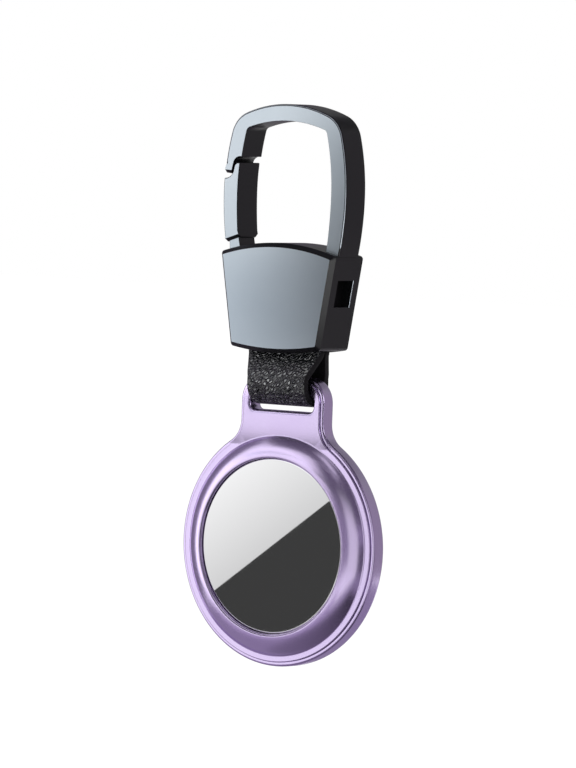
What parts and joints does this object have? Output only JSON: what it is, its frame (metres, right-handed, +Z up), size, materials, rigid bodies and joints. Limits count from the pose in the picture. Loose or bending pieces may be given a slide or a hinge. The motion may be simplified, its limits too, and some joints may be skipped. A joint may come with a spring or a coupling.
{
  "type": "tracker tag holder",
  "caption": "Hanging holder for a round tracker tag: metal carabiner hook with a sprung gate, folded leather strap and a round slotted metal case with a bezel.",
  "frame": {"origin": "inside top of the carabiner's arch, on its mid plane, where the holder hangs", "axes": "+Z up along the hanging line, front faces -Y, +X to the right seen from the front"},
  "size_m": [0.037, 0.011, 0.0863],
  "materials": {
    "gunmetal_zinc": "black plated zinc with brushed gunmetal faces",
    "steel": "plain",
    "black_leather": "pebbled grain",
    "lilac_aluminium": "satin anodised",
    "black_rubber": "matte",
    "foam": "soft foam",
    "white_plastic": "gloss",
    "polished_steel": "mirror polished",
    "board_laminate": "solder mask",
    "contact_brass": "plated",
    "copper_wire": "enamelled wire"
  },
  "bodies": {
    "hook": {"hook_frame": "gunmetal_zinc", "gate_pin": "steel", "gate_spring": "steel", "strap_bar": "steel"},
    "gate": {"gate": "gunmetal_zinc"},
    "strap": {"strap": "black_leather"},
    "case": {"front_cover": "lilac_aluminium", "rear_shell": "lilac_aluminium"},
    "case_back": {"case_back": "lilac_aluminium", "back_seal": "black_rubber", "tag_pad": "foam"},
    "tag": {"tag_shell": "white_plastic", "cover_gasket": "black_rubber", "coin_cell": "steel", "circuit_board": "board_laminate", "positive_contact": "contact_brass", "negative_contact": "contact_brass", "speaker_magnet": "steel", "speaker_coil": "copper_wire"},
    "battery_cover": {"battery_cover": "polished_steel"}
  },
  "joints": [
    {"name": "gate_hinge", "type": "hinge", "parent": "hook", "child": "gate", "pos_m": [-0.0093, 0, -0.022], "axis": [0, 1, 0], "range_deg": [0, 22], "stiffness_Nm_per_rad": 0.02, "springref_deg": -14.32, "deforming": ["gate_spring"]},
    {"name": "strap_swing", "type": "hinge", "parent": "hook", "child": "strap", "pos_m": [0, 0, -0.02605], "axis": [1, 0, 0], "range_deg": [-7, 7]},
    {"name": "case_swing", "type": "hinge", "parent": "strap", "child": "case", "pos_m": [0, 0, -0.04051], "axis": [1, 0, 0], "range_deg": [-90, 90]},
    {"name": "back_lift", "type": "slide", "parent": "case", "child": "case_back", "axis": [0, 1, 0], "range_m": [0, 0.016]},
    {"name": "tag_slide", "type": "slide", "parent": "case", "child": "tag", "axis": [0, 1, 0], "range_m": [0, 0.008]},
    {"name": "cover_twist", "type": "hinge", "parent": "tag", "child": "battery_cover", "pos_m": [0, 0, -0.06511], "axis": [0, -1, 0], "range_deg": [0, 22]}
  ],
  "couplings": [
    {"joint": "tag_slide", "follows": "back_lift", "ratio": 0.5}
  ]
}
